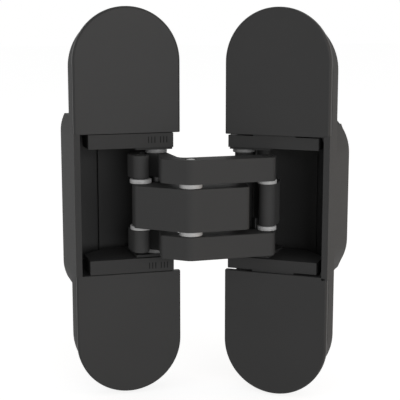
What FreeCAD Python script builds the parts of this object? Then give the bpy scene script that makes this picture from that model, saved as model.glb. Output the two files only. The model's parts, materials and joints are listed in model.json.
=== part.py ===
import FreeCAD, Part
import math
import os
import Sketcher
from FreeCAD import Placement, Rotation, Vector

# Concealed door hinge: two mortised leaves joined by a crossed pair of arms
# on seven upright pivots. It is modelled standing open, as it is shown.
# X runs across the jamb leaf towards the door, Y into the jamb, Z upwards.
# The origin is the middle of the jamb leaf's screw pattern, on the back of
# its flange. Inside one leaf, u runs outwards from its inner edge, v into
# the wood from its front face and w along its length.

DIMENSIONS = {
    # leaves
    "leaf_width": 30.0,
    "leaf_length": 109.0,
    "flange_depth": 8.0,
    "leaf_depth": 23.8,
    "outer_wall": 1.7,
    "back_wall": 1.2,
    "window_half": "=flange_half + carrier_thickness",
    "inner_wall_depth": 17.5,
    "jamb_box_straight": 19.4,
    "jamb_box_round": 11.4,
    "jamb_box_end": 5.1,
    "jamb_box_drop": 0.8,
    "door_box_straight": 12.7,
    "door_box_round": 13.5,
    "door_box_end": "=door_box_round",
    "door_box_drop": 0.0,
    "box_inner_round": 6.0,
    "jamb_step_u": 19.6,
    "jamb_step_depth": 21.0,
    "door_step_u": 21.1,
    "door_step_depth": 22.1,
    "door_lip": 0.6,
    "door_corner_across": 1.4,
    "door_corner_along": 3.1,
    "notch_reach": 2.6,
    "notch_along": 2.6,
    "notch_half": "=window_half + notch_along",
    # covers
    "cover_depth": 2.0,
    "cover_inset": 0.25,
    "cover_edge": 0.45,
    "clip_set_in": 4.5,
    "clip_across": 1.6,
    "clip_along": 3.0,
    "clip_length": 2.6,
    # fixing screws of the leaves
    "screw_hole_radius": 2.4,
    "screw_sink_radius": 4.6,
    "screw_from_clamp": 9.9,
    "inner_screw_half": "=clamp_w + screw_from_clamp",
    "screw_from_end": 7.5,
    "outer_screw_half": "=leaf_length / 2 - screw_from_end",
    # how the door leaf stands to the jamb leaf
    "open_angle": 143.8,
    "door_edge_across": 11.69,
    "door_edge_forward": 3.95,
    "door_drop": 0.2,
    # pivots
    "jamb_pivot_u": 5.85,
    "jamb_pivot_v": 5.05,
    "door_pivot_u": 3.45,
    "door_pivot_v": 6.6,
    "centre_u": 0.25,
    "centre_forward": 11.7,
    "jamb_arm_end_u": 11.45,
    "jamb_arm_end_v": 0.3,
    "door_arm_end_u": 12.15,
    "door_arm_end_v": 1.25,
    "jamb_link_pivot_u": 5.1,
    "jamb_link_pivot_v": 12.52,
    "door_link_pivot_u": 7.51,
    "door_link_pivot_v": 12.8,
    "jamb_link_eye_u": 5.21,
    "jamb_link_eye_v": 12.18,
    "door_link_eye_u": 7.22,
    "door_link_eye_v": 12.71,
    # heights of what stacks on the pivots, from the middle outwards
    "middle_half": 5.9,
    "washer_room": 1.3,
    "outer_inner": "=middle_half + washer_room",
    "outer_arm_height": 6.55,
    "outer_outer": "=outer_inner + outer_arm_height",
    "block_rise": 1.2,
    "block_half": "=outer_outer + block_rise",
    "block_proud": 0.7,
    "flange_half": "=block_half + block_proud",
    "carrier_thickness": 4.35,
    "jamb_carrier_half": "=window_half - 2 * guide_gap",
    "door_end_gap": 1.0,
    "door_carrier_half": "=window_half - door_end_gap",
    "face_gap": 0.05,
    # pins and what turns on them
    "pin_radius": 1.5,
    "link_pin_radius": 1.25,
    "running_gap": 0.05,
    "seat_gap": 0.02,
    "pin_set_in": 1.45,
    "pin_half": "=door_carrier_half - pin_set_in",
    "link_eye_play": 1.2,
    "centre_washer_radius": 3.15,
    "end_washer_radius": 2.65,
    "boss_radius": 2.9,
    "sleeve_radius": 2.3,
    "door_sleeve_radius": 2.5,
    # arms
    "arm_round": 3.6,
    "hub_radius": 2.75,
    "arm_end_radius": 2.4,
    "corner_radius": 1.4,
    "outer_arm_depth": 7.0,
    "middle_arm_depth": 8.3,
    "crotch_radius": 2.5,
    "leg_inner": 3.9,
    "leg_waist": 0.3,
    "leg_hollow": 3.0,
    "leg_reach": 5.6,
    "left_face_angle": 139.6,
    "right_face_angle": 1.4,
    "outer_arm_left": 6.55,
    "outer_arm_right": 22.1,
    "middle_arm_left": 14.67,
    "middle_arm_right": 14.6,
    # links
    "knuckle_radius": 2.35,
    "link_radius": 1.6,
    "eye_radius": 3.3,
    "jamb_link_bow": 1.2,
    "door_link_bow": 0.7,
    "link_bow_near": 4.0,
    "link_bow_far": 8.2,
    # carriers
    "jamb_carrier_inner_u": 2.0,
    "door_carrier_inner_u": 0.7,
    "jamb_carrier_end_gap": 2.3,
    "door_carrier_end_gap": 1.7,
    "jamb_carrier_outer_u": "=leaf_width - outer_wall - jamb_carrier_end_gap",
    "door_carrier_outer_u": "=leaf_width - outer_wall - door_carrier_end_gap",
    "jamb_carrier_front": 0.2,
    "door_carrier_front": 1.05,
    "carrier_back": 16.6,
    "carrier_corner": 7.0,
    "block_outer_u": 12.5,
    "block_set_back": 1.3,
    "door_slope_depth": 6.5,
    "door_slope_edge": 1.25,
    "door_slope_half": "=flange_half + door_slope_edge",
    "tongue_u": 14.0,
    "tongue_half": 6.0,
    "tongue_rim": 1.0,
    "tongue_inner_half": "=clamp_w - clamp_head_radius - 2 * guide_gap",
    "jamb_tongue_front": 4.2,
    "jamb_tongue_depth": 2.6,
    "door_tongue_front": 3.95,
    "door_tongue_depth": 2.2,
    "tongue_tip": "=clamp_w + clamp_head_radius + tongue_rim",
    # screws that set and lock the carriers, and how far these can be moved
    "clamp_w": "=window_half + clamp_head_radius",
    "clamp_radius": 1.5,
    "clamp_head_radius": 2.6,
    "jamb_clamp_head_depth": 2.0,
    "door_clamp_head_depth": 0.95,
    "jamb_clamp_tip": 12.0,
    "door_clamp_tip": 7.8,
    "hex_radius": 1.45,
    "hex_depth": 1.2,
    "side_play": 1.0,
    "depth_play": 0.5,
    "slot_gap": 0.1,
    "guide_gap": 0.15,
}

doc = FreeCAD.newDocument("concealed_hinge")
sheet = doc.addObject("Spreadsheet::Sheet", "Sheet")
for row, alias in enumerate(DIMENSIONS, start=1):
    sheet.set(f"A{row}", alias)
    sheet.setAlias(f"B{row}", alias)
for row, value in enumerate(DIMENSIONS.values(), start=1):
    sheet.set(f"B{row}", str(value))
doc.recompute()


def size(alias):
    return float(sheet.get(alias))


LEAF_WIDTH = size("leaf_width")
LEAF_LENGTH = size("leaf_length")
FLANGE_DEPTH = size("flange_depth")
COVER_DEPTH = size("cover_depth")
WINDOW_HALF = size("window_half")
SLACK = 1.0

# The frames of the two leaves. The jamb leaf is the same way up as the door
# leaf seen from behind, so it is turned half round about its depth.
jamb_frame = Placement(Vector(LEAF_WIDTH / 2, -FLANGE_DEPTH, 0), Rotation(Vector(0, 1, 0), 180))
door_corner = Vector(
    LEAF_WIDTH / 2 + size("door_edge_across"), -FLANGE_DEPTH - size("door_edge_forward"), 0
)
door_turn = Rotation(Vector(0, 0, 1), size("open_angle") - 180)
door_carrier_frame = Placement(door_corner, door_turn)
door_frame = Placement(door_corner - Vector(0, 0, size("door_drop")), door_turn)


def in_jamb(name):
    return jamb_frame.multVec(Vector(size(name + "_u"), size(name + "_v"), 0))


def in_door(name):
    return door_carrier_frame.multVec(Vector(size(name + "_u"), size(name + "_v"), 0))


JAMB_PIVOT = in_jamb("jamb_pivot")
DOOR_PIVOT = in_door("door_pivot")
CENTRE = jamb_frame.multVec(Vector(size("centre_u"), -size("centre_forward"), 0))
JAMB_ARM_END = in_jamb("jamb_arm_end")
DOOR_ARM_END = in_door("door_arm_end")
JAMB_LINK_PIVOT = in_jamb("jamb_link_pivot")
DOOR_LINK_PIVOT = in_door("door_link_pivot")
JAMB_LINK_EYE = in_jamb("jamb_link_eye")
DOOR_LINK_EYE = in_door("door_link_eye")

nodes = []


def keep(item, label):
    item.Label = label
    nodes.append(item)
    return item


# Steps that every sketched piece shares.
def new_body(name, frame=Placement()):
    body = doc.addObject("PartDesign::Body", name)
    body.Placement = frame
    return body


def new_sketch(body, role, offset, geometry):
    sketch = body.newObject("Sketcher::SketchObject", body.Name + "_sketch")
    plane = [item for item in body.Origin.OriginFeatures if item.Role == role][0]
    sketch.AttachmentSupport = (plane, [""])
    sketch.MapMode = "FlatFace"
    sketch.AttachmentOffset = Placement(Vector(0, 0, offset), Rotation())
    for item in geometry:
        sketch.addGeometry(item)
    return sketch


def pad(body, sketch, length, flipped=False):
    feature = body.newObject("PartDesign::Pad", body.Name + "_pad")
    feature.Profile = sketch
    feature.setExpression("Length", length)
    feature.Reversed = flipped
    sketch.Visibility = False
    return feature


def pocket(body, sketch, length, flipped=False):
    feature = body.newObject("PartDesign::Pocket", body.Name + "_pocket")
    feature.Profile = sketch
    feature.setExpression("Length", length)
    feature.Reversed = flipped
    return feature


def bind_radius(sketch, index, expression, radius):
    constraint = sketch.addConstraint(Sketcher.Constraint("Radius", index, radius))
    sketch.setExpression(f"Constraints[{constraint}]", expression)


def outline(points):
    closed = points + points[:1]
    return [Part.LineSegment(a, b) for a, b in zip(closed[:-1], closed[1:])]


def box_outline(low_x, low_y, high_x, high_y):
    return outline([
        Vector(low_x, low_y, 0), Vector(high_x, low_y, 0),
        Vector(high_x, high_y, 0), Vector(low_x, high_y, 0),
    ])


def circle(x, y, radius):
    return Part.Circle(Vector(x, y, 0), Vector(0, 0, 1), radius)


def arc(centre, radius, start, end):
    return Part.ArcOfCircle(Part.Circle(centre, Vector(0, 0, 1), radius), start, end)


# The outline round two discs and the straight tangents between them.
def limb(first, first_radius, second, second_radius):
    run = second - first
    heading = math.atan2(run.y, run.x)
    spread = math.acos((first_radius - second_radius) / run.Length)

    def on_rim(centre, radius, angle):
        return centre + Vector(radius * math.cos(angle), radius * math.sin(angle), 0)

    low, high = heading - spread, heading + spread
    return [
        arc(second, second_radius, low, high),
        Part.LineSegment(on_rim(second, second_radius, high), on_rim(first, first_radius, high)),
        arc(first, first_radius, high, low + 2 * math.pi),
        Part.LineSegment(on_rim(first, first_radius, low), on_rim(second, second_radius, low)),
    ]


# The outline of a belt round several discs, counterclockwise, with straight
# tangents. It goes round the outside of a disc, or hollows in round it where
# the radius is negative.
def belt(discs):
    following = discs[1:] + discs[:1]
    headings = []
    for (first, first_radius), (second, second_radius) in zip(discs, following):
        run = second - first
        lean = math.asin((first_radius - second_radius) / run.Length)
        headings.append(math.atan2(run.y, run.x) + lean)
    edges = []
    touches = []
    for index, (centre, radius) in enumerate(discs):
        arriving, leaving = headings[index - 1], headings[index]
        ends = []
        for heading in (arriving, leaving):
            ends.append(centre + Vector(math.sin(heading), -math.cos(heading), 0) * radius)
        touches.append(ends)
        if radius > 0:
            turn = (leaving - arriving) % (2 * math.pi)
            start = arriving - math.pi / 2
        else:
            turn = (arriving - leaving) % (2 * math.pi)
            start = leaving + math.pi / 2
        edges.append(arc(centre, abs(radius), start, start + turn))
    for index, ends in enumerate(touches):
        edges.append(Part.LineSegment(touches[index - 1][1], ends[0]))
    return edges


# A plate with round bores through it.
def plate(name, edges, base, height, bores):
    body = new_body(name)
    sketch = new_sketch(body, "XY_Plane", base, edges)
    pad(body, sketch, height)
    for centre, expression, radius in bores:
        sketch = new_sketch(body, "XY_Plane", base, [circle(centre.x, centre.y, radius)])
        bind_radius(sketch, 0, expression, radius)
        pocket(body, sketch, height, flipped=True)
    return keep(body, name)


# Two arms that cross at the centre pin. Seen from the front, their faces lie
# in two planes that meet in a rounded crease over that pin. Each has a leg
# back to its leaf's pivot, waisted to clear the link that folds beside it.
LEFT_FACE = math.radians(size("left_face_angle"))
RIGHT_FACE = math.radians(size("right_face_angle"))
LEFT_OUT = Vector(-math.sin(LEFT_FACE), math.cos(LEFT_FACE), 0)
RIGHT_OUT = Vector(math.sin(RIGHT_FACE), -math.cos(RIGHT_FACE), 0)
ARM_ROUND = size("arm_round")
CORNER = size("corner_radius")
CROTCH = size("crotch_radius")
PIN_BORE = ("Sheet.pin_radius + Sheet.running_gap", size("pin_radius") + size("running_gap"))
PIN_SEAT = ("Sheet.pin_radius + Sheet.seat_gap", size("pin_radius") + size("seat_gap"))


def face_corner(angle, outward, reach):
    along = Vector(math.cos(angle), math.sin(angle), 0)
    return CENTRE + along * reach + outward * (ARM_ROUND - CORNER)


# The point that lies so far out from two straight lines.
def meet(first, second):
    (a, normal_a, offset_a), (b, normal_b, offset_b) = first, second
    reach_a = a.dot(normal_a) + offset_a
    reach_b = b.dot(normal_b) + offset_b
    across = normal_a.x * normal_b.y - normal_a.y * normal_b.x
    return Vector(
        (reach_a * normal_b.y - reach_b * normal_a.y) / across,
        (reach_b * normal_a.x - reach_a * normal_b.x) / across,
        0,
    )


def leg_discs(pivot, corner, outer_side, depth):
    axis = (corner - pivot).normalize()
    outward = Vector(axis.y, -axis.x, 0) * outer_side
    from_axis = outward * (size("leg_waist") + size("leg_hollow"))
    hollow = pivot + axis * size("leg_reach") + from_axis
    face_line = (CENTRE, RIGHT_OUT, ARM_ROUND - depth - CROTCH)
    leg_line = (pivot, outward * -1, size("leg_inner") + CROTCH)
    return (hollow, -size("leg_hollow")), (meet(face_line, leg_line), -CROTCH)


outer_left = face_corner(LEFT_FACE, LEFT_OUT, size("outer_arm_left"))
outer_right = face_corner(RIGHT_FACE, RIGHT_OUT, size("outer_arm_right"))
middle_left = face_corner(LEFT_FACE, LEFT_OUT, size("middle_arm_left"))
middle_right = face_corner(RIGHT_FACE, RIGHT_OUT, size("middle_arm_right"))

depth = size("outer_arm_depth")
hollow, crotch = leg_discs(JAMB_PIVOT, outer_left, 1, depth)
outer_arm = belt([
    (outer_left, CORNER), (CENTRE, ARM_ROUND), (outer_right, CORNER),
    (DOOR_ARM_END, size("arm_end_radius")), crotch, (JAMB_PIVOT, size("hub_radius")), hollow,
])
for side, base in (("upper", size("outer_inner")), ("lower", -size("outer_outer"))):
    bores = [(JAMB_PIVOT, *PIN_BORE), (CENTRE, *PIN_SEAT), (DOOR_ARM_END, *PIN_SEAT)]
    plate("outer_arm_" + side, outer_arm, base, "Sheet.outer_outer - Sheet.outer_inner", bores)

depth = size("middle_arm_depth")
hollow, crotch = leg_discs(DOOR_PIVOT, middle_right, -1, depth)
behind = ARM_ROUND - depth - CROTCH
inner_corner = (meet((CENTRE, RIGHT_OUT, behind), (CENTRE, LEFT_OUT, behind)), -CROTCH)
middle_arm = belt([
    (middle_left, CORNER), (CENTRE, ARM_ROUND), (middle_right, CORNER), hollow,
    (DOOR_PIVOT, size("hub_radius")), crotch, inner_corner,
    (JAMB_ARM_END, size("arm_end_radius")),
])
bores = [(DOOR_PIVOT, *PIN_BORE), (CENTRE, *PIN_BORE), (JAMB_ARM_END, *PIN_SEAT)]
plate("middle_arm", middle_arm, -size("middle_half"), "2 * Sheet.middle_half", bores)


# Bowed links tie the arms' free ends to the pivots deep in the leaves. Each
# has a wide eye there, which takes up what the seven pivots don't close.
EYE = (
    "Sheet.link_pin_radius + Sheet.link_eye_play",
    size("link_pin_radius") + size("link_eye_play"),
)


def link(name, knuckle, eye, bow, turn, base, height):
    near = knuckle + turn.multVec(Vector(bow, size("link_bow_near"), 0))
    far = knuckle + turn.multVec(Vector(-bow / 2, size("link_bow_far"), 0))
    discs = [
        (knuckle, size("knuckle_radius")),
        (near, size("link_radius")),
        (far, size("link_radius")),
        (eye, size("eye_radius")),
    ]
    body = new_body(name)
    for (first, first_radius), (second, second_radius) in zip(discs[:-1], discs[1:]):
        sketch = new_sketch(body, "XY_Plane", base, limb(first, first_radius, second, second_radius))
        pad(body, sketch, height)
    for centre, expression, radius in ((knuckle, *PIN_BORE), (eye, *EYE)):
        sketch = new_sketch(body, "XY_Plane", base, [circle(centre.x, centre.y, radius)])
        bind_radius(sketch, 0, expression, radius)
        pocket(body, sketch, height, flipped=True)
    return keep(body, name)


for side, base in (("upper", size("outer_inner")), ("lower", -size("outer_outer"))):
    link("jamb_link_" + side, JAMB_ARM_END, JAMB_LINK_EYE, -size("jamb_link_bow"), Rotation(),
         base, "Sheet.outer_outer - Sheet.outer_inner")
link("door_link", DOOR_ARM_END, DOOR_LINK_EYE, size("door_link_bow"), door_turn,
     -size("middle_half"), "2 * Sheet.middle_half")


# Turned pieces: pins, some with a thicker middle, and rings that keep the
# plates apart.
def cylinder(name, centre, low, radius, height):
    item = doc.addObject("Part::Cylinder", name)
    item.setExpression("Radius", radius)
    item.setExpression("Height", height)
    item.Placement = Placement(Vector(centre.x, centre.y, low), Rotation())
    return item


def pin(name, centre, half, half_expression, radius):
    return cylinder(name, centre, -half, radius, "2 * (" + half_expression + ")")


def shouldered_pin(name, centre, half, half_expression, radius):
    rod = pin(name + "_rod", centre, half, half_expression, radius)
    middle = size("outer_inner") - size("face_gap")
    shoulder = cylinder(name + "_shoulder", centre, -middle, "Sheet.sleeve_radius",
                        "2 * (Sheet.outer_inner - Sheet.face_gap)")
    item = doc.addObject("Part::Fuse", name)
    item.Base = rod
    item.Tool = shoulder
    return item


def ring(name, centre, low, height, outer, inner):
    shell = cylinder(name + "_outer", centre, low, outer, height)
    core = cylinder(name + "_inner", centre, low, inner, height)
    item = doc.addObject("Part::Cut", name)
    item.Base = shell
    item.Tool = core
    return item


def washers(name, centre, radius):
    low, high = size("middle_half"), size("outer_inner")
    height = "Sheet.outer_inner - Sheet.middle_half - 2 * Sheet.face_gap"
    inner = "Sheet.pin_radius + Sheet.seat_gap"
    pair = doc.addObject("Part::Compound", name)
    pair.Links = [
        ring(name + "_top", centre, low + size("face_gap"), height, radius, inner),
        ring(name + "_base", centre, -high + size("face_gap"), height, radius, inner),
    ]
    return keep(pair, name)


PIN = "Sheet.pin_radius"
LINK_PIN = "Sheet.link_pin_radius"
DEEP_HALF = size("pin_half")
DEEP_EXPRESSION = "Sheet.pin_half"

for name, centre in (("centre", CENTRE), ("jamb_arm", JAMB_ARM_END), ("door_arm", DOOR_ARM_END)):
    rod = pin(name + "_pin", centre, size("outer_outer"), "Sheet.outer_outer", PIN)
    keep(rod, name + "_pin")
for name, centre, radius in (
    ("jamb_pivot", JAMB_PIVOT, PIN), ("jamb_link", JAMB_LINK_PIVOT, LINK_PIN),
):
    rod = shouldered_pin(name + "_pin", centre, DEEP_HALF, DEEP_EXPRESSION, radius)
    keep(rod, name + "_pin")
for name, centre, radius in (
    ("door_pivot", DOOR_PIVOT, PIN), ("door_link", DOOR_LINK_PIVOT, LINK_PIN),
):
    rod = pin(name + "_pin", centre, DEEP_HALF, DEEP_EXPRESSION, radius)
    keep(rod, name + "_pin")

washers("centre_washers", CENTRE, "Sheet.centre_washer_radius")
washers("jamb_arm_washers", JAMB_ARM_END, "Sheet.end_washer_radius")
washers("door_arm_washers", DOOR_ARM_END, "Sheet.end_washer_radius")


# Carriers: each holds one end of a leaf's two pins, in bosses that reach to
# the plates that turn on the pins. A tongue under the cover
# takes the screw that sets it: a slot lets the jamb's carriers move across
# the leaf, and the door's carriers move in and out along theirs.
def carrier(leaf, side, frame, pivots):
    sign = 1 if side == "upper" else -1
    body = new_body(f"{leaf}_carrier_{side}", frame)
    down = sign < 0
    inner = size(f"{leaf}_carrier_inner_u")
    outer = size(f"{leaf}_carrier_outer_u")
    front = size(f"{leaf}_carrier_front")
    back = size("carrier_back")
    corner = size("carrier_corner")
    outer_half = f"Sheet.{leaf}_carrier_half"
    plan = outline([
        Vector(inner, front, 0), Vector(outer, front, 0), Vector(outer, back - corner, 0),
        Vector(outer - corner, back, 0), Vector(inner, back, 0),
    ])
    sketch = new_sketch(body, "XY_Plane", sign * size("flange_half"), plan)
    pad(body, sketch, outer_half + " - Sheet.flange_half", flipped=down)
    set_back = front + size("block_set_back")
    plan = box_outline(inner, set_back, size("block_outer_u"), back)
    sketch = new_sketch(body, "XY_Plane", sign * size("block_half"), plan)
    pad(body, sketch, "Sheet.flange_half - Sheet.block_half", flipped=down)

    tongue_low = size("tongue_u") - size("tongue_half")
    tongue_high = size("tongue_u") + size("tongue_half")
    tongue_front = size(f"{leaf}_tongue_front")
    tongue_back = tongue_front + size(f"{leaf}_tongue_depth")
    for start, tip in ((front, "tongue_inner_half"), (tongue_front, "tongue_tip")):
        plan = box_outline(tongue_low, start, tongue_high, tongue_back)
        sketch = new_sketch(body, "XY_Plane", sign * size("flange_half"), plan)
        pad(body, sketch, f"Sheet.{tip} - Sheet.flange_half", flipped=down)

    site = Vector(size("tongue_u"), sign * size("clamp_w"), 0)
    if leaf == "jamb":
        radius = size("clamp_radius") + size("slot_gap")
        reach = Vector(size("side_play"), 0, 0)
        opening = limb(site - reach, radius, site + reach, radius)
    else:
        threaded_w = site.y - size("door_drop")
        opening = [circle(site.x, threaded_w, size("clamp_radius") + size("running_gap"))]
    sketch = new_sketch(body, "XZ_Plane", -tongue_front + SLACK, opening)
    pocket(body, sketch, f"Sheet.{leaf}_tongue_depth + {2 * SLACK}")

    if leaf == "door":
        half = size("door_carrier_half")
        top = half + SLACK
        slope = outline([
            Vector(size("door_slope_depth"), sign * half, 0),
            Vector(size("door_slope_depth"), sign * top, 0),
            Vector(back + SLACK, sign * top, 0),
            Vector(back + SLACK, sign * size("door_slope_half"), 0),
            Vector(back, sign * size("door_slope_half"), 0),
        ])
        sketch = new_sketch(body, "YZ_Plane", inner - SLACK, slope)
        pocket(body, sketch, f"Sheet.leaf_width + {SLACK}", flipped=True)

    for name, expression, radius, bosses in pivots:
        site = Vector(size(name + "_u"), size(name + "_v"), 0)
        for boss_radius, reach in bosses:
            start = size(reach) + size("face_gap")
            sketch = new_sketch(
                body, "XY_Plane", sign * start, [circle(site.x, site.y, size(boss_radius))]
            )
            bind_radius(sketch, 0, "Sheet." + boss_radius, size(boss_radius))
            length = f"Sheet.block_half - Sheet.{reach} - Sheet.face_gap"
            pad(body, sketch, length, flipped=down)
        sketch = new_sketch(body, "XY_Plane", sign * start, [circle(site.x, site.y, radius)])
        bind_radius(sketch, 0, expression, radius)
        length = f"{outer_half} - Sheet.{reach} - Sheet.face_gap"
        pocket(body, sketch, length, flipped=not down)
    keep(body, f"{leaf}_carrier_{side}")


LINK_PIN_SEAT = (
    "Sheet.link_pin_radius + Sheet.seat_gap",
    size("link_pin_radius") + size("seat_gap"),
)
WIDE_BOSS = ("boss_radius", "outer_outer")
BOSSES = {
    "jamb_pivot": [WIDE_BOSS],
    "jamb_link_pivot": [WIDE_BOSS],
    "door_pivot": [WIDE_BOSS, ("door_sleeve_radius", "middle_half")],
    "door_link_pivot": [("sleeve_radius", "middle_half")],
}
for leaf, frame in (("jamb", jamb_frame), ("door", door_carrier_frame)):
    pivots = [
        (leaf + "_pivot", *PIN_SEAT, BOSSES[leaf + "_pivot"]),
        (leaf + "_link_pivot", *LINK_PIN_SEAT, BOSSES[leaf + "_link_pivot"]),
    ]
    for side in ("upper", "lower"):
        carrier(leaf, side, frame, pivots)


# Leaf bodies: a flange with round ends, a deep box behind its middle with
# rounded corners, as a router leaves them, and a window for the arms that is
# open on the inner side.
def stadium():
    radius = LEAF_WIDTH / 2
    reach = LEAF_LENGTH / 2 - LEAF_WIDTH / 2
    middle_u = LEAF_WIDTH / 2
    return limb(Vector(middle_u, -reach, 0), radius, Vector(middle_u, reach, 0), radius)


def box_end(leaf, sign):
    straight = size(leaf + "_box_straight")
    radius = size(leaf + "_box_round")
    end = size(leaf + "_box_end")
    inner = size("box_inner_round")
    shift = -size(leaf + "_box_drop")
    start, finish = sign * straight + shift, sign * (straight + end) + shift
    lean = math.asin(end / radius)
    middle = Vector(LEAF_WIDTH - radius + radius * math.cos(lean / 2),
                    start + sign * radius * math.sin(lean / 2), 0)
    corner = Vector(LEAF_WIDTH - radius + radius * math.cos(lean), finish, 0)
    root = finish - sign * inner
    near = inner * (1 - math.sqrt(0.5))
    return [
        Part.Arc(Vector(LEAF_WIDTH, start, 0), middle, corner),
        Part.LineSegment(corner, Vector(inner, finish, 0)),
        Part.Arc(Vector(inner, finish, 0), Vector(near, finish - sign * near, 0),
                 Vector(0, root, 0)),
    ], Vector(LEAF_WIDTH, start, 0), Vector(0, root, 0)


def deep_plan(leaf):
    upper, upper_outer, upper_inner = box_end(leaf, 1)
    lower, lower_outer, lower_inner = box_end(leaf, -1)
    return upper + lower + [
        Part.LineSegment(lower_outer, upper_outer), Part.LineSegment(upper_inner, lower_inner),
    ]


def leaf_body(leaf, frame):
    body = new_body(leaf + "_body", frame)
    sketch = new_sketch(body, "XZ_Plane", -COVER_DEPTH, stadium())
    pad(body, sketch, "Sheet.flange_depth - Sheet.cover_depth", flipped=True)
    sketch = new_sketch(body, "XZ_Plane", 0, box_outline(0, -WINDOW_HALF, LEAF_WIDTH, WINDOW_HALF))
    pad(body, sketch, "Sheet.flange_depth", flipped=True)
    sketch = new_sketch(body, "XZ_Plane", -COVER_DEPTH - SLACK, deep_plan(leaf))
    pad(body, sketch, f"Sheet.leaf_depth - Sheet.cover_depth - {SLACK}", flipped=True)

    # the window, open at the inner side down to the stub of the inner wall
    reach = f"Sheet.leaf_width - Sheet.outer_wall + {SLACK}"
    wall_depth = size("inner_wall_depth")
    step = size(leaf + "_step_depth")
    window_cut(body, -SLACK, wall_depth, -SLACK, reach)
    window_cut(body, wall_depth - SLACK, step, size("outer_wall"),
               "Sheet.leaf_width - 2 * Sheet.outer_wall")
    window_cut(body, step - SLACK, size("leaf_depth") - size("back_wall"),
               size(leaf + "_step_u"),
               f"Sheet.leaf_width - Sheet.outer_wall - Sheet.{leaf}_step_u")

    # notches behind the covers' inner corners, for the carriers' ends
    notches = []
    for sign in (1, -1):
        ends = sorted((sign * (WINDOW_HALF - SLACK), sign * size("notch_half")))
        notches += box_outline(-SLACK, ends[0], size("notch_reach"), ends[1])
    sketch = new_sketch(body, "XZ_Plane", -COVER_DEPTH + SLACK, notches)
    pocket(body, sketch, f"Sheet.inner_wall_depth - Sheet.cover_depth + {SLACK}")
    if leaf == "door":
        door_window_ends(body)
    return body


# The door's window has bevelled outer corners, and a low lip along its ends
# on both sides of the tongues.
def door_window_ends(body):
    outer = LEAF_WIDTH - size("outer_wall")
    across, along = size("door_corner_across"), size("door_corner_along")
    slope = along / across
    root = size("outer_wall") / 2
    corners = []
    lips = []
    room = size("tongue_half") + 2 * size("guide_gap")
    spans = ((size("notch_reach"), size("tongue_u") - room), (size("tongue_u") + room, outer + root))
    for sign in (1, -1):
        corners += outline([
            Vector(outer + root, sign * (WINDOW_HALF - along - root * slope), 0),
            Vector(outer + root, sign * (WINDOW_HALF + root), 0),
            Vector(outer - across - root / slope, sign * (WINDOW_HALF + root), 0),
        ])
        for low_u, high_u in spans:
            ends = sorted((sign * (WINDOW_HALF - size("door_lip")), sign * (WINDOW_HALF + root)))
            lips += box_outline(low_u, ends[0], high_u, ends[1])
    sketch = new_sketch(body, "XZ_Plane", -COVER_DEPTH, lips)
    pad(body, sketch, "Sheet.flange_depth - Sheet.cover_depth", flipped=True)
    sketch = new_sketch(body, "XZ_Plane", -COVER_DEPTH, corners)
    pad(body, sketch, "Sheet.leaf_depth - Sheet.back_wall / 2 - Sheet.cover_depth", flipped=True)


# One cut of the window between two depths.
def window_cut(body, front, back, start_u, length):
    edges = box_outline(front, -WINDOW_HALF, back, WINDOW_HALF)
    sketch = new_sketch(body, "YZ_Plane", start_u, edges)
    pocket(body, sketch, length, flipped=True)


# The covers' clips stand in two rows: a pair beside the inner screw and one
# midway between the two screws.
def clip_outlines(sign, gap):
    across = size("clip_across") / 2 + gap
    along = size("clip_along") / 2 + gap
    beside = size("inner_screw_half")
    between = (beside + size("outer_screw_half")) / 2
    set_in = size("clip_set_in")
    edges = []
    for u, w in ((set_in, beside), (LEAF_WIDTH - set_in, beside), (LEAF_WIDTH / 2, between)):
        edges += box_outline(u - across, sign * w - along, u + across, sign * w + along)
    return edges


def leaf_recesses(body, leaf):
    side = size("side_play") if leaf == "jamb" else size("guide_gap")
    low_u = size("tongue_u") - size("tongue_half") - side - size("guide_gap")
    high_u = size("tongue_u") + size("tongue_half") + side + size("guide_gap")
    tip = size("tongue_tip") + size("door_drop") + 2 * size("guide_gap")
    floor = f"Sheet.{leaf}_tongue_front + Sheet.{leaf}_tongue_depth + Sheet.face_gap"
    if leaf == "door":
        floor += " + Sheet.depth_play"
    slots = []
    for sign in (1, -1):
        ends = sorted((sign * (WINDOW_HALF - SLACK), sign * tip))
        slots += box_outline(low_u, ends[0], high_u, ends[1])
    sketch = new_sketch(body, "XZ_Plane", -COVER_DEPTH + SLACK, slots)
    pocket(body, sketch, f"{floor} - Sheet.cover_depth + {SLACK}")

    for sign in (1, -1):
        radius = size("clamp_radius") + size("seat_gap")
        hole = [circle(size("tongue_u"), sign * size("clamp_w"), radius)]
        sketch = new_sketch(body, "XZ_Plane", -COVER_DEPTH, hole)
        bind_radius(sketch, 0, "Sheet.clamp_radius + Sheet.seat_gap", radius)
        pocket(body, sketch, f"Sheet.{leaf}_clamp_tip - Sheet.cover_depth")
        slots = clip_outlines(sign, size("running_gap"))
        sketch = new_sketch(body, "XZ_Plane", -COVER_DEPTH, slots)
        pocket(body, sketch, "Sheet.clip_length + Sheet.slot_gap")

    # countersunk holes for the screws into the wood
    sites = [sign * size(name) for sign in (1, -1)
             for name in ("inner_screw_half", "outer_screw_half")]
    radius = size("screw_hole_radius")
    sketch = new_sketch(
        body, "XZ_Plane", -COVER_DEPTH, [circle(LEAF_WIDTH / 2, site, radius) for site in sites]
    )
    doc.recompute()
    hole = body.newObject("PartDesign::Hole", body.Name + "_hole")
    hole.Profile = sketch
    doc.recompute()
    hole.setExpression("Diameter", "2 * Sheet.screw_hole_radius")
    hole.DepthType = "ThroughAll"
    hole.HoleCutType = "Countersink"
    hole.setExpression("HoleCutDiameter", "2 * Sheet.screw_sink_radius")
    hole.HoleCutCountersinkAngle = 90
    keep(body, leaf + "_body")


for leaf, frame in (("jamb", jamb_frame), ("door", door_frame)):
    leaf_recesses(leaf_body(leaf, frame), leaf)


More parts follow.
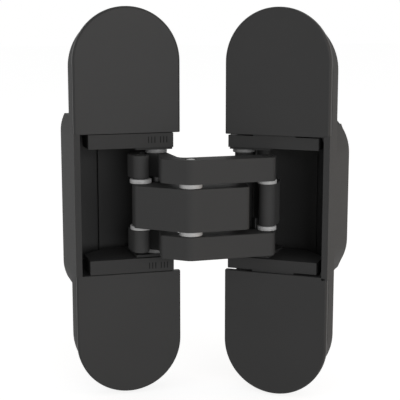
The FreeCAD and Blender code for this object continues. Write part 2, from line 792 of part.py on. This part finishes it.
# Covers: a D-shaped plate over each end of the flange, with three clips.
def cover(leaf, side, frame):
    sign = 1 if side == "upper" else -1
    body = new_body(f"{leaf}_cover_{side}", frame)
    inset = size("cover_inset")
    radius = LEAF_WIDTH / 2 - inset
    middle_u = LEAF_WIDTH / 2
    reach = sign * (LEAF_LENGTH / 2 - LEAF_WIDTH / 2)
    edge = sign * (WINDOW_HALF + size("face_gap"))
    plan = [
        Part.Arc(Vector(middle_u - radius, reach, 0), Vector(middle_u, reach + sign * radius, 0),
                 Vector(middle_u + radius, reach, 0)),
        Part.LineSegment(Vector(middle_u + radius, reach, 0), Vector(middle_u + radius, edge, 0)),
        Part.LineSegment(Vector(middle_u + radius, edge, 0), Vector(middle_u - radius, edge, 0)),
        Part.LineSegment(Vector(middle_u - radius, edge, 0), Vector(middle_u - radius, reach, 0)),
    ]
    sketch = new_sketch(body, "XZ_Plane", 0, plan)
    slab = pad(body, sketch, "Sheet.cover_depth", flipped=True)
    doc.recompute()
    front = [f"Edge{index}" for index, item in enumerate(slab.Shape.Edges, start=1)
             if abs(item.BoundBox.YMax) < 1e-6 and abs(item.BoundBox.YMin) < 1e-6
             and not (isinstance(item.Curve, Part.Line)
                      and item.BoundBox.XLength > LEAF_WIDTH / 2)]
    bevel = body.newObject("PartDesign::Chamfer", body.Name + "_bevel")
    bevel.Base = (slab, front)
    bevel.setExpression("Size", "Sheet.cover_edge")
    sketch = new_sketch(body, "XZ_Plane", -COVER_DEPTH, clip_outlines(sign, 0))
    pad(body, sketch, "Sheet.clip_length", flipped=True)
    keep(body, f"{leaf}_cover_{side}")


for leaf, frame in (("jamb", jamb_frame), ("door", door_frame)):
    for side in ("upper", "lower"):
        cover(leaf, side, frame)


# Screws that set the carriers, with a hexagon socket in the head.
def set_screw(leaf, side, frame, w):
    body = new_body(f"{leaf}_clamp_screw_{side}", frame)
    site = Vector(size("tongue_u"), w, 0)
    under = size(f"{leaf}_tongue_front")
    if leaf == "door":
        under -= size("depth_play") + size("face_gap")
    head = under - size(f"{leaf}_clamp_head_depth")
    sketch = new_sketch(body, "XZ_Plane", -head, [circle(site.x, w, size("clamp_head_radius"))])
    bind_radius(sketch, 0, "Sheet.clamp_head_radius", size("clamp_head_radius"))
    pad(body, sketch, f"Sheet.{leaf}_clamp_head_depth", flipped=True)
    sketch = new_sketch(body, "XZ_Plane", -under, [circle(site.x, w, size("clamp_radius"))])
    bind_radius(sketch, 0, "Sheet.clamp_radius", size("clamp_radius"))
    pad(body, sketch, f"Sheet.{leaf}_clamp_tip - {under} - Sheet.slot_gap", flipped=True)
    corners = [site + Vector(size("hex_radius") * math.cos(math.radians(60 * step)),
                             size("hex_radius") * math.sin(math.radians(60 * step)), 0)
               for step in range(6)]
    sketch = new_sketch(body, "XZ_Plane", -head, outline(corners))
    pocket(body, sketch, "Sheet.hex_depth")
    return body


for leaf, frame in (("jamb", jamb_frame), ("door", door_frame)):
    pair = doc.addObject("Part::Compound", leaf + "_clamp_screws")
    pair.Links = [
        set_screw(leaf, side, frame, sign * size("clamp_w"))
        for side, sign in (("upper", 1), ("lower", -1))
    ]
    keep(pair, leaf + "_clamp_screws")

doc.recompute()
for item in doc.Objects:
    bad = [state for state in item.State if state in ("Invalid", "Error")]
    if bad:
        raise RuntimeError(f"{item.Name} is {bad}")
os.makedirs("parts", exist_ok=True)
for item in nodes:
    if item.Shape.isNull() or not item.Shape.isValid():
        raise RuntimeError(f"{item.Label} has no valid shape")
    item.Shape.exportStep(f"parts/{item.Label}.step")
    print(item.Label, len(item.Shape.Solids), round(item.Shape.Volume, 2))
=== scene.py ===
import json
import math

import bmesh
import bpy
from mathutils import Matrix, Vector


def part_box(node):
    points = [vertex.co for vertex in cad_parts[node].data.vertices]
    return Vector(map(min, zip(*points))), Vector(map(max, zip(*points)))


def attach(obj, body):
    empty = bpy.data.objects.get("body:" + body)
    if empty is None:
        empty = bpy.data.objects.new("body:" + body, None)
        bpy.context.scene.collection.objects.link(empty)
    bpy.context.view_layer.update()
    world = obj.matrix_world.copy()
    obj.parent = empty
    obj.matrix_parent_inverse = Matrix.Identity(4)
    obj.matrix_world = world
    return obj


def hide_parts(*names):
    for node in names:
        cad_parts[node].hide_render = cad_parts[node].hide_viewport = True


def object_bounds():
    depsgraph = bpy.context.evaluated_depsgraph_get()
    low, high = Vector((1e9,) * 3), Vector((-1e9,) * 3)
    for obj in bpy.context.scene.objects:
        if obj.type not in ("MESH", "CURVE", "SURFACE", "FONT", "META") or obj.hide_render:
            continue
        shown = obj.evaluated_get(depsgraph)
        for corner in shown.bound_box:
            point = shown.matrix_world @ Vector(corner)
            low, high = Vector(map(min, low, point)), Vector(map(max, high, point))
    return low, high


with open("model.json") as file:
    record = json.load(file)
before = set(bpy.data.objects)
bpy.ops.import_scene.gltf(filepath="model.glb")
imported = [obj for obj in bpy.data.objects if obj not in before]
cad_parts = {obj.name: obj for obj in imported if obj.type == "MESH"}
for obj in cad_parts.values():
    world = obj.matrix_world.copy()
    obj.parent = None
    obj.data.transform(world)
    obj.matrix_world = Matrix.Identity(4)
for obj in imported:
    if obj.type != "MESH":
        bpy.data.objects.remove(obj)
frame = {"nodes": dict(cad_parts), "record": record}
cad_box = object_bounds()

nodes = frame["nodes"]


# Studio: a packshot, taken with a long lens from a little above and left of
# the hinge. White paper lies under and behind it, and soft boxes at its own
# height on both sides light the upright faces more than the level ones.
def linear(code):
    channels = [int(code[k:k + 2], 16) / 255 for k in (1, 3, 5)]
    return [c / 12.92 if c <= 0.04045 else ((c + 0.055) / 1.055) ** 2.4
            for c in channels] + [1.0]


def add(tree, kind, settings=None, links=None):
    node = tree.nodes.new(kind)
    for name, value in (settings or {}).items():
        if isinstance(name, int) or name in node.inputs:
            node.inputs[name].default_value = value
        else:
            setattr(node, name, value)
    for name, source in (links or {}).items():
        tree.links.new(source, node.inputs[name])
    return node


CAMERA_AT = (-0.0615, -0.2993, 0.0535)
CAMERA_TILT_DEG = 80.03
CAMERA_TURN_DEG = -15.75

scene = bpy.context.scene
scene.view_settings.view_transform = "Standard"

lens = bpy.data.cameras.new("packshot_lens")
lens.lens = 97.55
lens.sensor_width = 36.0
lens.clip_start = 0.01
camera = bpy.data.objects.new("packshot_camera", lens)
scene.collection.objects.link(camera)
camera.location = CAMERA_AT
camera.rotation_euler = (math.radians(CAMERA_TILT_DEG), 0, math.radians(CAMERA_TURN_DEG))
scene.camera = camera


def seen_directly(tree):
    path = add(tree, "ShaderNodeLightPath")
    glossy = add(tree, "ShaderNodeMath", {"operation": "MAXIMUM"},
                 {0: path.outputs["Is Camera Ray"], 1: path.outputs["Is Glossy Ray"]})
    seen = add(tree, "ShaderNodeMath", {"operation": "MAXIMUM"},
               {0: glossy.outputs[0], 1: path.outputs["Is Transmission Ray"]})
    return seen.outputs[0]


# The paper is seen with some light of its own beside the lamps', so that it
# is near white and still keeps the hinge's shadow.
PAPER_GLOW = 0.8
PAPER_HALF = 3.0
PAPER_BELOW = 0.0005

paper = bpy.data.materials.new("white_studio_paper")
paper.use_nodes = True
tree = paper.node_tree
tree.nodes.clear()
plain = add(tree, "ShaderNodeBsdfDiffuse", {"Color": linear("#f6f6f6")})
lit = add(tree, "ShaderNodeBsdfDiffuse", {"Color": linear("#bcbcbc")})
own = add(tree, "ShaderNodeEmission", {"Color": (1, 1, 1, 1), "Strength": PAPER_GLOW})
both = add(tree, "ShaderNodeAddShader", {}, {0: lit.outputs[0], 1: own.outputs[0]})
mix = add(tree, "ShaderNodeMixShader", {},
          {0: seen_directly(tree), 1: plain.outputs[0], 2: both.outputs[0]})
add(tree, "ShaderNodeOutputMaterial", {}, {"Surface": mix.outputs[0]})

paper_height = cad_box[0][2] - PAPER_BELOW
paper_mesh = bpy.data.meshes.new("paper")
paper_mesh.from_pydata(
    [(-PAPER_HALF, -PAPER_HALF, paper_height), (PAPER_HALF, -PAPER_HALF, paper_height),
     (PAPER_HALF, PAPER_HALF, paper_height), (-PAPER_HALF, PAPER_HALF, paper_height)],
    [], [(0, 1, 2, 3)],
)
paper_mesh.materials.append(paper)
floor = bpy.data.objects.new("paper", paper_mesh)
scene.collection.objects.link(floor)

# The room fills the shadows softly, and is seen as plain white.
ROOM_LIGHT = 0.38
SEEN_WHITE = 1.0

world = bpy.data.worlds.new("white_room")
world.use_nodes = True
tree = world.node_tree
tree.nodes.clear()
room = add(tree, "ShaderNodeBackground", {"Color": (1, 1, 1, 1), "Strength": ROOM_LIGHT})
backdrop = add(tree, "ShaderNodeBackground", {"Color": (1, 1, 1, 1), "Strength": SEEN_WHITE})
mix = add(tree, "ShaderNodeMixShader", {},
          {0: seen_directly(tree), 1: room.outputs[0], 2: backdrop.outputs[0]})
add(tree, "ShaderNodeOutputWorld", {}, {"Surface": mix.outputs[0]})
scene.world = world

LAMPS_AIM = (0.02, 0, 0)


def soft_box(name, at, wide, high, watts, tone="#ffffff"):
    light = bpy.data.lights.new(name, "AREA")
    light.shape = "RECTANGLE"
    light.size = wide
    light.size_y = high
    light.energy = watts
    light.color = linear(tone)[:3]
    lamp = bpy.data.objects.new(name, light)
    scene.collection.objects.link(lamp)
    lamp.location = at
    lamp.rotation_euler = (Vector(LAMPS_AIM) - Vector(at)).to_track_quat("-Z", "Y").to_euler()


# The right box is a little warm, and gives the door box's side its brown cast.
soft_box("front_soft_box", (0.18, -1.15, 0.05), 0.8, 0.6, 10.4)
soft_box("left_soft_box", (-0.95, -0.35, 0.02), 0.5, 0.6, 2.3)
soft_box("right_soft_box", (0.95, -0.35, 0.02), 0.5, 0.6, 3.5, "#ffe0bf")


# Covers: D-shaped caps of die-cast zinc that snap over the screw holes at the
# ends of each leaf, powder coated in a fine matt anthracite. Their clips go
# into slots in the flange.
COAT_IOR = 1.5
CLOUDS_PER_METRE = 90.0
NOISE_LOW, NOISE_HIGH = 0.3, 0.7
GLOSS_DRIFT = 0.04
GRAIN_STRENGTH = 0.5


def lacquer(name, colour, rough, gloss_level, grain_mm, grain_height_mm, tint=0.05):
    material = bpy.data.materials.new(name)
    material.use_nodes = True
    tree = material.node_tree
    tree.nodes.clear()
    where = add(tree, "ShaderNodeTexCoord")
    grain = add(tree, "ShaderNodeTexNoise", {"Scale": 1000.0 / grain_mm, "Detail": 2.0},
                {"Vector": where.outputs["Object"]})
    cloud = add(tree, "ShaderNodeTexNoise", {"Scale": CLOUDS_PER_METRE, "Detail": 3.0},
                {"Vector": where.outputs["Object"]})
    shade = add(tree, "ShaderNodeMix", {"data_type": "RGBA"}, {0: cloud.outputs["Fac"]})
    shade.inputs[6].default_value = [c * (1 - tint) for c in linear(colour)[:3]] + [1]
    shade.inputs[7].default_value = [c * (1 + tint) for c in linear(colour)[:3]] + [1]
    gloss = add(tree, "ShaderNodeMapRange",
                {"From Min": NOISE_LOW, "From Max": NOISE_HIGH,
                 "To Min": rough - GLOSS_DRIFT, "To Max": rough + GLOSS_DRIFT},
                {"Value": grain.outputs["Fac"]})
    relief = add(tree, "ShaderNodeBump",
                 {"Strength": GRAIN_STRENGTH, "Distance": grain_height_mm / 1000.0},
                 {"Height": grain.outputs["Fac"]})
    shader = add(tree, "ShaderNodeBsdfPrincipled",
                 {"IOR": COAT_IOR, "Specular IOR Level": gloss_level},
                 {"Base Color": shade.outputs[2], "Roughness": gloss.outputs["Result"],
                  "Normal": relief.outputs["Normal"]})
    add(tree, "ShaderNodeOutputMaterial", {}, {"Surface": shader.outputs[0]})
    return material


carried_by = {name: body for body, names in frame["record"]["behaviour"]["bodies"].items()
              for name in names}
slot_of = {part["node"]: part["material_slot"] for part in frame["record"]["subparts"]}


def nodes_in(slot):
    return [name for name in slot_of if slot_of[name] == slot]


# A piece is dressed on a copy of its CAD mesh, with its doubles merged, so
# that the edges sharper than EDGE_FROM_DEG get the small radius of the real
# one and the flat faces stay flat.
MERGE_WITHIN = 1e-6
FLAT_WITHIN_DEG = 0.6
EDGE_FROM_DEG = 35
FACE_WEIGHT = 100


def dress(name, material, edge_mm, steps=3, fit=None):
    mesh = nodes[name].data.copy()
    mesh.name = name + "_finished"
    shell = bmesh.new()
    shell.from_mesh(mesh)
    bmesh.ops.remove_doubles(shell, verts=shell.verts, dist=MERGE_WITHIN)
    if fit:
        fit(shell)
    bmesh.ops.dissolve_limit(shell, angle_limit=math.radians(FLAT_WITHIN_DEG),
                             verts=shell.verts, edges=shell.edges)
    shell.to_mesh(mesh)
    shell.free()
    mesh.materials.clear()
    mesh.materials.append(material)
    for face in mesh.polygons:
        face.material_index = 0
        face.use_smooth = True
    piece = bpy.data.objects.new(name + "_finished", mesh)
    scene.collection.objects.link(piece)
    edges = piece.modifiers.new("rounded_edges", "BEVEL")
    edges.width = edge_mm / 1000.0
    edges.segments = steps
    edges.limit_method = "ANGLE"
    edges.angle_limit = math.radians(EDGE_FROM_DEG)
    faces = piece.modifiers.new("even_faces", "WEIGHTED_NORMAL")
    faces.weight = FACE_WEIGHT
    faces.keep_sharp = False
    depsgraph = bpy.context.evaluated_depsgraph_get()
    finished = bpy.data.meshes.new_from_object(piece.evaluated_get(depsgraph))
    piece.modifiers.clear()
    piece.data = finished
    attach(piece, carried_by[name])
    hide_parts(name)
    return piece


# A cover's rim lies flush with the flange's sides, and its straight edge
# closes up to the carrier, so that only hair lines part them. ACROSS is the
# direction of each leaf's width; the door leaf stands open at an angle.
CAST_EDGE_MM = 0.2
OPEN_DEG = 36.2
ACROSS = {"jamb": Vector((1, 0, 0)),
          "door": Vector((math.cos(math.radians(OPEN_DEG)),
                          -math.sin(math.radians(OPEN_DEG)), 0))}
RIM_MM = 0.2
RIM_BAND_MM = 0.6
STRAIGHT_EDGE_WITHIN_MM = 20.4
STRAIGHT_EDGE_MM = {"jamb": 19.82, "door": 19.4}


def flush_rim(leaf):
    across, edge = ACROSS[leaf], STRAIGHT_EDGE_MM[leaf] / 1000

    def fit(shell):
        reach = [point.co.dot(across) for point in shell.verts]
        middle, half = (min(reach) + max(reach)) / 2, (max(reach) - min(reach)) / 2
        tip = max((point.co.z for point in shell.verts), key=abs)
        round_centre = tip - math.copysign(half, tip)
        for point in shell.verts:
            out = across * (point.co.dot(across) - middle)
            if abs(point.co.z) > abs(round_centre):
                out = out + Vector((0, 0, point.co.z - round_centre))
            if out.length > half - RIM_BAND_MM / 1000:
                point.co += out.normalized() * RIM_MM / 1000
            if abs(point.co.z) < STRAIGHT_EDGE_WITHIN_MM / 1000:
                point.co.z = math.copysign(edge, point.co.z)
    return fit


# Powder coat, fine and matt: an even dark grey with a faint grain under
# raking light, and a soft gleam only along the rounded front edge.
cover_lacquer = lacquer("matt_anthracite_powder_coat_on_covers", "#323232",
                        0.5, 0.12, 0.35, 0.015)
for name in nodes_in("cover"):
    dress(name, cover_lacquer, CAST_EDGE_MM, fit=flush_rim(name[:4]))


# Leaf bodies: die-cast zinc in one piece, a round-ended flange with a deep box
# behind it that is mortised into the door or the jamb. They are powder coated
# like the covers.

# The coat lies on rougher cast walls here: duller than on the covers, with a
# coarser grain, so that the boxes' sides fade evenly into shade.
cast_lacquer = lacquer("matt_anthracite_powder_coat_on_cast_zinc", "#343434",
                       0.68, 0.12, 0.45, 0.025)

# The door box's outer corners are drawn in to the curve of its ends. Corners
# are in millimetres, from the leaf's edge across it and from its middle up.
# The door leaf stands a hair lower than the jamb leaf.
DOOR_EDGE = Vector((0.02669, -0.01195, 0))
DROP_MM = {"jamb": 0.0, "door": 0.2}
SQUARE_CORNER = (29.15, 20.85)
ROUND_CORNER = (27.55, 20.45)
CORNER_WITHIN_MM = 0.05


def round_outer_corners(shell):
    across = ACROSS["door"]
    for point in shell.verts:
        u = (point.co - DOOR_EDGE).dot(across) * 1000
        w = point.co.z * 1000 + DROP_MM["door"]
        if (abs(u - SQUARE_CORNER[0]) < CORNER_WITHIN_MM
                and abs(abs(w) - SQUARE_CORNER[1]) < CORNER_WITHIN_MM):
            point.co += across * (ROUND_CORNER[0] - u) / 1000
            point.co.z += math.copysign(ROUND_CORNER[1] - abs(w), w) / 1000


# The flange stops short of the covers' round ends, so that they overhang it.
END_CENTRE_MM = 39.5
END_RADIUS_MM = 15.0
OVERHANG_MM = {"jamb": 1.6, "door": 2.3}
END_SLACK_MM = 0.05


def short_ends(shell, leaf):
    across = ACROSS[leaf]
    reach = [point.co.dot(across) for point in shell.verts]
    middle = (min(reach) + max(reach)) / 2
    for point in shell.verts:
        u = (point.co.dot(across) - middle) * 1000
        w = point.co.z * 1000 + DROP_MM[leaf]
        past = abs(w) - END_CENTRE_MM
        if past > -END_SLACK_MM and math.hypot(u, past) > END_RADIUS_MM - END_SLACK_MM:
            point.co.z -= math.copysign(OVERHANG_MM[leaf], w) / 1000


# The jamb box hangs 0.8 mm low behind its flange, and the CAD body has it as
# much too high. All else in that body is alike above and below the middle, so
# the body is drawn upside down.
def low_box(shell):
    for point in shell.verts:
        point.co.z = -point.co.z
    bmesh.ops.reverse_faces(shell, faces=shell.faces)


def jamb_form(shell):
    low_box(shell)
    short_ends(shell, "jamb")


def door_form(shell):
    round_outer_corners(shell)
    short_ends(shell, "door")


dress("jamb_body", cast_lacquer, CAST_EDGE_MM, fit=jamb_form)
dress("door_body", cast_lacquer, CAST_EDGE_MM, fit=door_form)


# Carriers: four zinc castings that slide in the leaves' windows, above and
# below the arms, and hold the pins of the leaf pivots. Screws under the
# covers clamp them.

# Their thin black coat is duller than the leaves' and hardly gleams, so they
# read as a shade darker.
carrier_lacquer = lacquer("black_coated_carrier_casting", "#353535", 0.6, 0.06, 0.4, 0.015)
for name in nodes_in("carrier"):
    dress(name, carrier_lacquer, CAST_EDGE_MM)


# Setting marks: short lines cut into the front of the jamb's carriers beside
# their inner ends, against which the sideways setting is read. They are drawn
# as dark bars, flush but for a hair, since so shallow a cut wouldn't show: the
# shade inside the cuts is painted into the bars' colour.
def marks_tree():
    tree = bpy.data.node_groups.new("setting_marks", "GeometryNodeTree")
    made = tree.interface
    made.new_socket("Places", in_out="INPUT", socket_type="NodeSocketGeometry")
    made.new_socket("Lines", in_out="INPUT", socket_type="NodeSocketInt")
    made.new_socket("Pitch", in_out="INPUT", socket_type="NodeSocketVector")
    made.new_socket("Line Size", in_out="INPUT", socket_type="NodeSocketVector")
    made.new_socket("Finish", in_out="INPUT", socket_type="NodeSocketMaterial")
    made.new_socket("Marks", in_out="OUTPUT", socket_type="NodeSocketGeometry")
    given = add(tree, "NodeGroupInput").outputs
    row = add(tree, "GeometryNodeMeshLine", {"mode": "OFFSET"},
              {"Count": given["Lines"], "Offset": given["Pitch"]})
    line = add(tree, "GeometryNodeMeshCube", {}, {"Size": given["Line Size"]})
    group = add(tree, "GeometryNodeInstanceOnPoints", {},
                {"Points": row.outputs[0], "Instance": line.outputs[0]})
    placed = add(tree, "GeometryNodeInstanceOnPoints", {},
                 {"Points": given["Places"], "Instance": group.outputs[0]})
    real = add(tree, "GeometryNodeRealizeInstances", {}, {"Geometry": placed.outputs[0]})
    coated = add(tree, "GeometryNodeSetMaterial", {},
                 {"Geometry": real.outputs[0], "Material": given["Finish"]})
    add(tree, "NodeGroupOutput", {}, {"Marks": coated.outputs[0]})
    return tree


def made_by(name, points, tree, values):
    mesh = bpy.data.meshes.new(name + "_points")
    mesh.from_pydata(points, [], [])
    piece = bpy.data.objects.new(name, mesh)
    scene.collection.objects.link(piece)
    maker = piece.modifiers.new("maker", "NODES")
    maker.node_group = tree
    for socket in tree.interface.items_tree:
        if socket.in_out == "INPUT" and socket.name in values:
            maker[socket.identifier] = values[socket.name]
    depsgraph = bpy.context.evaluated_depsgraph_get()
    finished = bpy.data.meshes.new_from_object(piece.evaluated_get(depsgraph))
    piece.modifiers.clear()
    piece.data = finished
    shell = bmesh.new()
    shell.from_mesh(finished)
    bmesh.ops.recalc_face_normals(shell, faces=shell.faces)
    shell.to_mesh(finished)
    shell.free()
    return piece


# Painted shade: the shade inside the cuts is painted as this nearly black finish, without a
# gleam.
painted_cut_shade = lacquer("painted_shade_in_cut_marks", "#1d1d1d", 0.8, 0.05, 0.4, 0.005)
MARKS_IN_ROW = 3
MARK_PITCH_MM = 0.9
MARK_SIZE_MM = (0.25, 0.1, 1.8)
MARK_BEHIND_MM = 0.03
MARK_FIRST_LINES_MM = (5.9, 9.3)
MARK_LEVEL_MM = 17.9
front_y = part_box("jamb_carrier_upper")[0][1]
marks = made_by(
    "jamb_setting_marks",
    [(x / 1000, front_y + MARK_BEHIND_MM / 1000, side * MARK_LEVEL_MM / 1000)
     for x in MARK_FIRST_LINES_MM for side in (1, -1)],
    marks_tree(),
    {"Lines": MARKS_IN_ROW, "Pitch": (MARK_PITCH_MM / 1000, 0, 0),
     "Line Size": [size / 1000 for size in MARK_SIZE_MM], "Finish": painted_cut_shade},
)
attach(marks, "jamb_carrier")


# Arms and links: extruded steel plates, tumbled so that their edges are
# rounded, and coated. The middle arm crosses the two outer ones on the centre
# pin, and the links tie the arms' free ends to the leaves.
ARM_EDGE_MM = 0.35

# A satin black coat, thin and even: the flat faces stay dark, and only the
# rounded edges and the crease catch the light.
arm_lacquer = lacquer("satin_black_coat_on_steel_arms", "#3b3b3b", 0.6, 0.045, 0.3, 0.01)
for name in nodes_in("arm"):
    dress(name, arm_lacquer, ARM_EDGE_MM)


# Pins and clamp screws: ground steel, pressed into the carriers and arms or
# screwed into the leaves. The rounded ends of three pins show on the outer
# arms; the screws lie under the covers.

# The ground lines run round a pin. Real ones are finer than a picture shows,
# so they are drawn a quarter of a millimetre apart along it.
LINES_PER_METRE = (200, 200, 4000)
LINE_DRIFT = 0.06


def steel(name, colour, rough):
    material = bpy.data.materials.new(name)
    material.use_nodes = True
    tree = material.node_tree
    tree.nodes.clear()
    where = add(tree, "ShaderNodeTexCoord")
    turned = add(tree, "ShaderNodeMapping", {"Scale": LINES_PER_METRE},
                 {"Vector": where.outputs["Object"]})
    lines = add(tree, "ShaderNodeTexNoise", {"Scale": 1.0, "Detail": 2.0},
                {"Vector": turned.outputs[0]})
    gloss = add(tree, "ShaderNodeMapRange",
                {"From Min": NOISE_LOW, "From Max": NOISE_HIGH,
                 "To Min": rough - LINE_DRIFT, "To Max": rough + LINE_DRIFT},
                {"Value": lines.outputs["Fac"]})
    shader = add(tree, "ShaderNodeBsdfPrincipled",
                 {"Base Color": linear(colour), "Metallic": 1.0},
                 {"Roughness": gloss.outputs["Result"]})
    add(tree, "ShaderNodeOutputMaterial", {}, {"Surface": shader.outputs[0]})
    return material


# Bare ground steel gives the pins' ends a light, silky spot; the oiled steel
# inside stays dark.
ground_steel = steel("ground_steel", "#8a8a88", 0.35)
oiled_steel = steel("dark_oiled_steel", "#4a4a4a", 0.4)
SHOWN_PINS = ("centre_pin", "jamb_arm_pin", "door_arm_pin")
SHOWN_END_MM = 0.6
HIDDEN_END_MM = 0.2
SCREW_EDGE_MM = 0.1
for name in nodes_in("pin"):
    shown = name in SHOWN_PINS
    dress(name, ground_steel if shown else oiled_steel, SHOWN_END_MM if shown else HIDDEN_END_MM)
for name in nodes_in("screw"):
    dress(name, oiled_steel, SCREW_EDGE_MM, 2)


# Bearing rings: acetal, turned, on every pin that shows. They keep the arms'
# plates apart, and the leaf's pivots clear of the carriers, so that nothing
# rattles.

# Acetal is smooth and a little waxy, so the rings are the lightest thing on
# the hinge, with a broad soft gleam. Those at the leaf pivots are darker.
bearing_plastic = lacquer("grey_acetal_bearing_rings", "#a6a6a6",
                          0.45, 0.25, 0.25, 0.005, 0.03)
pivot_plastic = lacquer("dark_grey_acetal_pivot_rings", "#787878",
                        0.45, 0.2, 0.25, 0.005, 0.03)
RING_STEPS = 48
RING_CORNER_STEPS = 3
RING_ROUNDING_MM = 0.18


def ring_tree():
    tree = bpy.data.node_groups.new("bearing_rings", "GeometryNodeTree")
    made = tree.interface
    made.new_socket("Centres", in_out="INPUT", socket_type="NodeSocketGeometry")
    for socket in ("Outer Radius", "Bore Radius", "Height", "Rounding"):
        made.new_socket(socket, in_out="INPUT", socket_type="NodeSocketFloat")
    made.new_socket("Finish", in_out="INPUT", socket_type="NodeSocketMaterial")
    made.new_socket("Rings", in_out="OUTPUT", socket_type="NodeSocketGeometry")
    given = add(tree, "NodeGroupInput").outputs
    both_radii = add(tree, "ShaderNodeMath", {"operation": "ADD"},
                     {0: given["Outer Radius"], 1: given["Bore Radius"]})
    middle = add(tree, "ShaderNodeMath", {"operation": "MULTIPLY", 1: 0.5},
                 {0: both_radii.outputs[0]})
    wall = add(tree, "ShaderNodeMath", {"operation": "SUBTRACT"},
               {0: given["Outer Radius"], 1: given["Bore Radius"]})
    path = add(tree, "GeometryNodeCurvePrimitiveCircle", {"Resolution": RING_STEPS},
               {"Radius": middle.outputs[0]})
    block = add(tree, "GeometryNodeCurvePrimitiveQuadrilateral", {"mode": "RECTANGLE"},
                {"Width": wall.outputs[0], "Height": given["Height"]})
    section = add(tree, "GeometryNodeFilletCurve", {"mode": "POLY", "Count": RING_CORNER_STEPS},
                  {"Curve": block.outputs[0], "Radius": given["Rounding"]})
    ring = add(tree, "GeometryNodeCurveToMesh", {},
               {"Curve": path.outputs[0], "Profile Curve": section.outputs[0]})
    placed = add(tree, "GeometryNodeInstanceOnPoints", {},
                 {"Points": given["Centres"], "Instance": ring.outputs[0]})
    real = add(tree, "GeometryNodeRealizeInstances", {}, {"Geometry": placed.outputs[0]})
    coated = add(tree, "GeometryNodeSetMaterial", {},
                 {"Geometry": real.outputs[0], "Material": given["Finish"]})
    add(tree, "NodeGroupOutput", {}, {"Rings": coated.outputs[0]})
    return tree


rings_on_pins = ring_tree()


def bearing_rings(name, body, pin, heights_mm, outer_mm, bore_mm, finish):
    low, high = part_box(pin)
    low_mm, high_mm = heights_mm
    level = (low_mm + high_mm) / 2000
    centre = Vector(((low[0] + high[0]) / 2, (low[1] + high[1]) / 2, 0))
    middle_z = (low[2] + high[2]) / 2
    piece = made_by(
        name,
        [centre + Vector((0, 0, middle_z + side * level)) for side in (1, -1)],
        rings_on_pins,
        {"Outer Radius": outer_mm / 1000, "Bore Radius": bore_mm / 1000,
         "Height": (high_mm - low_mm) / 1000, "Rounding": RING_ROUNDING_MM / 1000,
         "Finish": finish},
    )
    turned = piece.data
    for face in turned.polygons:
        face.use_smooth = True
    turned.set_sharp_from_angle(angle=math.radians(EDGE_FROM_DEG))
    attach(piece, body)
    return piece


# Heights are above and below the middle of the pins. A leaf pivot's ring sits
# round the boss of its carrier.
BETWEEN_ARMS_MM = (5.95, 7.15)
UNDER_CARRIER_MM = (13.82, 14.93)
PIN_BORE_MM = 1.52
BOSS_BORE_MM = 2.9
PIVOT_RING_MM = 3.1
for name, pin, outer_mm in (("centre_washers", "centre_pin", 3.15),
                            ("jamb_arm_washers", "jamb_arm_pin", 3.0),
                            ("door_arm_washers", "door_arm_pin", 2.65)):
    rings = bearing_rings(name + "_turned", carried_by[name], pin,
                          BETWEEN_ARMS_MM, outer_mm, PIN_BORE_MM, bearing_plastic)
    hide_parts(name)
for leaf in ("jamb", "door"):
    bearing_rings(leaf + "_pivot_rings", leaf + "_carrier", leaf + "_pivot_pin",
                  UNDER_CARRIER_MM, PIVOT_RING_MM, BOSS_BORE_MM, pivot_plastic)
